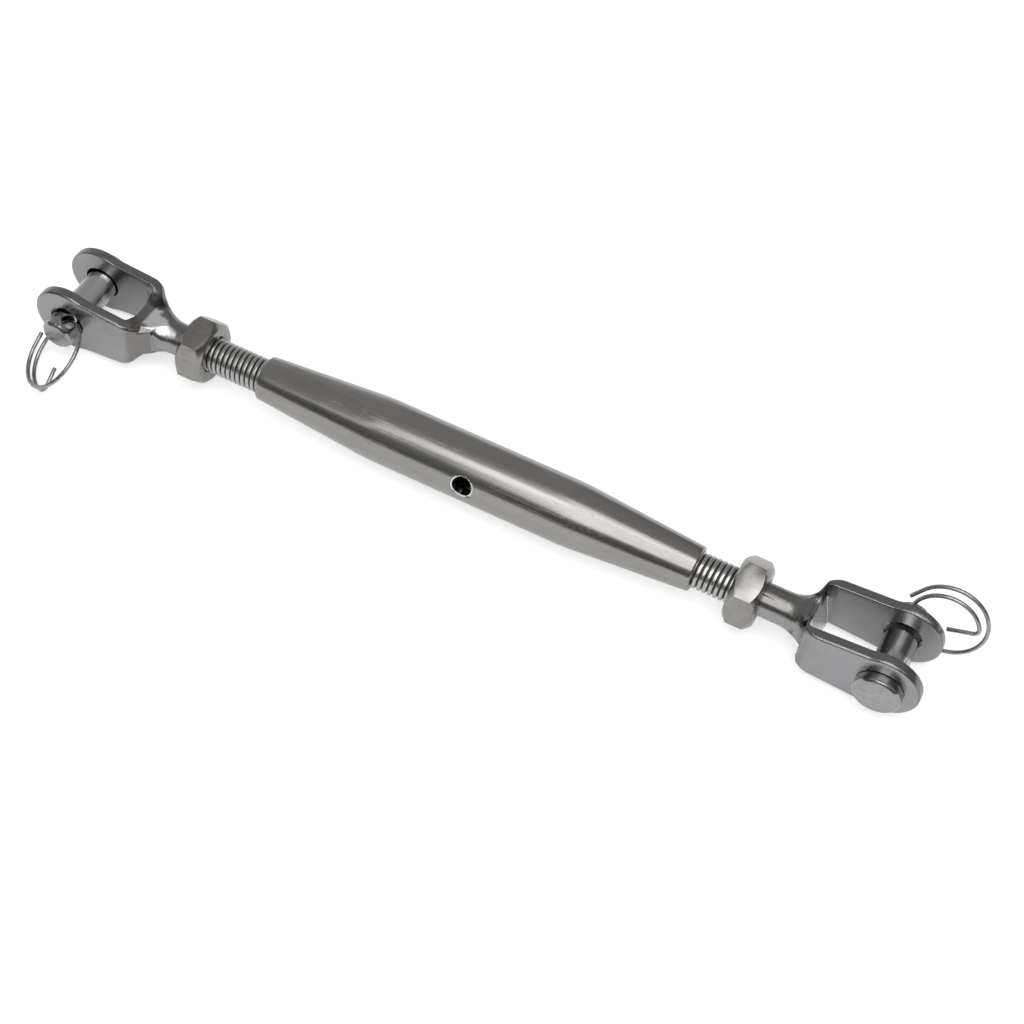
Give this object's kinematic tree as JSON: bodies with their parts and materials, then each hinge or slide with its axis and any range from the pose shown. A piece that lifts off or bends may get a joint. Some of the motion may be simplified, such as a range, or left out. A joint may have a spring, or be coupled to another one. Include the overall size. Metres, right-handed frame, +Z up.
{
  "type": "shroud adjuster",
  "caption": "Closed-body rigging screw: a tapered tube with a forged clevis jaw on a threaded stud at each end, and a lock nut, clevis pin and split ring for each jaw.",
  "frame": {"origin": "middle of the body tube, where the tommy-bar hole crosses its axis", "axes": "+X along the screw to the right-hand-threaded jaw, +Y along the clevis pins, +Z up from the surface the ears lie on"},
  "size_m": [0.2689, 0.0473, 0.0257],
  "materials": {
    "polished_steel": "polished, with fine grinding lines along the axis",
    "satin_steel": "satin forging, thread bright",
    "nut_steel": "satin",
    "pin_steel": "satin",
    "wire_steel": "bright drawn wire"
  },
  "bodies": {
    "body_tube": {"body_tube": "polished_steel"},
    "left_lock_nut": {"left_lock_nut": "nut_steel"},
    "left_jaw": {"left_jaw": "satin_steel"},
    "left_clevis_pin": {"left_clevis_pin": "pin_steel"},
    "left_split_ring": {"left_split_ring": "wire_steel"},
    "right_lock_nut": {"right_lock_nut": "nut_steel"},
    "right_jaw": {"right_jaw": "satin_steel"},
    "right_clevis_pin": {"right_clevis_pin": "pin_steel"},
    "right_split_ring": {"right_split_ring": "wire_steel"}
  },
  "joints": [
    {"name": "left_jaw_turn", "type": "hinge", "parent": "left_lock_nut", "child": "left_jaw", "pos_m": [0, 0, 0], "axis": [1, 0, 0], "range_deg": [-2268, 8316]},
    {"name": "left_nut_slide", "type": "slide", "parent": "body_tube", "child": "left_lock_nut", "axis": [-1, 0, 0], "range_m": [-0.009, 0.033]},
    {"name": "right_jaw_turn", "type": "hinge", "parent": "right_lock_nut", "child": "right_jaw", "pos_m": [0, 0, 0], "axis": [1, 0, 0], "range_deg": [-2268, 8316]},
    {"name": "right_nut_slide", "type": "slide", "parent": "body_tube", "child": "right_lock_nut", "axis": [1, 0, 0], "range_m": [-0.009, 0.033]},
    {"name": "left_pin_spin", "type": "hinge", "parent": "left_jaw", "child": "left_clevis_pin", "pos_m": [-0.1214, 0, -0.00045], "axis": [0, 1, 0], "continuous": true},
    {"name": "right_pin_spin", "type": "hinge", "parent": "right_jaw", "child": "right_clevis_pin", "pos_m": [0.1178, 0, -0.00045], "axis": [0, 1, 0], "continuous": true},
    {"name": "left_ring_swing", "type": "hinge", "parent": "left_clevis_pin", "child": "left_split_ring", "pos_m": [-0.1214, -0.0119, -0.00045], "axis": [0.5299, 0, 0.848], "range_deg": [-50, 32]},
    {"name": "right_ring_swing", "type": "hinge", "parent": "right_clevis_pin", "child": "right_split_ring", "pos_m": [0.1178, 0.0119, -0.00045], "axis": [-0.515, 0, 0.8572], "range_deg": [-5, 132]}
  ],
  "couplings": [
    {"joint": "left_jaw_turn", "follows": "left_nut_slide", "rad_per_m": 4188.8},
    {"joint": "right_jaw_turn", "follows": "right_nut_slide", "rad_per_m": 4188.8}
  ]
}
